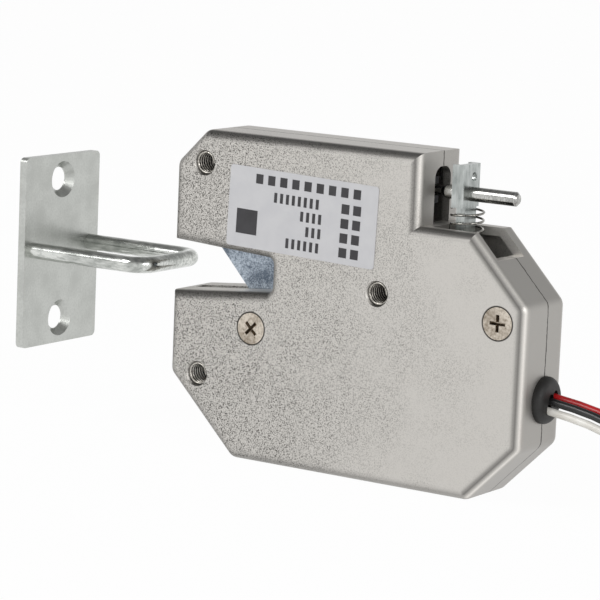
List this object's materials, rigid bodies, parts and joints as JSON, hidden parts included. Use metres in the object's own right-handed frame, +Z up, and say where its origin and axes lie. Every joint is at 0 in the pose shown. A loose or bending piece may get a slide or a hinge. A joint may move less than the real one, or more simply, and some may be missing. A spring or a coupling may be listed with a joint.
{
  "type": "electric door strike",
  "caption": "Small cast electric door strike with a rotary latch, a spring-loaded release pin, a solenoid, three leads and a separate bent-rod strike.",
  "frame": {"origin": "centre of the lock body's bottom face", "axes": "+X from the strike towards the cable outlet, -Y out of the front face, +Z up"},
  "size_m": [0.1559, 0.0262, 0.0585],
  "materials": {
    "cast_zinc": "sand-blasted zinc die casting",
    "nickel_plate": "warm nickel plating",
    "label_film": "pale grey printed film",
    "bright_steel": "bright drawn steel",
    "spring_steel": "drawn spring wire",
    "zinc_plate": "bright zinc plating",
    "latch_zinc": "bluish zinc plating",
    "black_steel": "blackened steel",
    "bobbin_plastic": "natural nylon",
    "copper_wire": "enamelled copper wire",
    "brass": "tinned brass",
    "board_green": "green solder mask",
    "black_plastic": "black moulded plastic",
    "red_plastic": "red moulded plastic",
    "white_plastic": "natural white moulded plastic",
    "black_rubber": "soft black rubber",
    "red_insulation": "red PVC insulation",
    "black_insulation": "black PVC insulation",
    "white_insulation": "white PVC insulation"
  },
  "bodies": {
    "lock": {"front_shell": "cast_zinc", "rear_shell": "cast_zinc", "shell_screws": "nickel_plate", "label": "label_film", "latch_bush": "bright_steel", "latch_spring": "spring_steel", "pawl_pin": "bright_steel", "solenoid_yoke": "zinc_plate", "coil_bobbin": "bobbin_plastic", "coil_winding": "copper_wire", "pole_piece": "bright_steel", "release_spring": "spring_steel", "switch_case": "black_plastic", "switch_terminals": "brass", "circuit_board": "board_green", "diode": "black_plastic", "chip": "black_plastic", "lead_header": "white_plastic", "grommet": "black_rubber", "wire_red": "red_insulation", "wire_red_coil": "red_insulation", "wire_red_end": "red_insulation", "wire_black": "black_insulation", "wire_black_coil": "black_insulation", "wire_black_end": "black_insulation", "wire_white": "white_insulation", "wire_white_coil": "white_insulation", "wire_white_end": "white_insulation", "coil_tie": "black_plastic", "plug_housing": "white_plastic", "plug_contacts": "brass"},
    "latch": {"latch_hook": "latch_zinc"},
    "pawl": {"pawl_lever": "black_steel"},
    "release": {"release_tab": "zinc_plate", "release_pin": "bright_steel", "plunger": "bright_steel", "link_pin": "bright_steel"},
    "switch_arm": {"switch_lever": "spring_steel"},
    "button": {"switch_button": "red_plastic"},
    "strike": {"strike_plate": "zinc_plate", "strike_loop": "zinc_plate"}
  },
  "joints": [
    {"name": "strike_slide", "type": "slide", "parent": "lock", "child": "strike", "axis": [1, 0, 0], "range_m": [0, 0.0215]},
    {"name": "latch_turn", "type": "hinge", "parent": "lock", "child": "latch", "pos_m": [-0.0187, 0.0006, 0.0241], "axis": [0, 1, 0], "range_deg": [0, 42.2]},
    {"name": "release_slide", "type": "slide", "parent": "lock", "child": "release", "axis": [0, 0, 1], "range_m": [0, 0.0018], "deforming": ["release_spring"]},
    {"name": "pawl_turn", "type": "hinge", "parent": "lock", "child": "pawl", "pos_m": [0.002, 0.0006, 0.043], "axis": [0, 1, 0], "range_deg": [-9.6, 0]},
    {"name": "switch_turn", "type": "hinge", "parent": "lock", "child": "switch_arm", "pos_m": [-0.0092, 0.0006, 0.0101], "axis": [0, 1, 0], "range_deg": [-6.1, 0]},
    {"name": "button_slide", "type": "slide", "parent": "lock", "child": "button", "axis": [0, 0, 1], "range_m": [-0.00051, 0]}
  ],
  "couplings": [
    {"joint": "latch_turn", "follows": "strike_slide", "rad_per_m": 34.095},
    {"joint": "pawl_turn", "follows": "release_slide", "rad_per_m": -91.743},
    {"joint": "switch_turn", "follows": "strike_slide", "rad_per_m": -4.8707},
    {"joint": "button_slide", "follows": "strike_slide", "ratio": -0.02326}
  ]
}
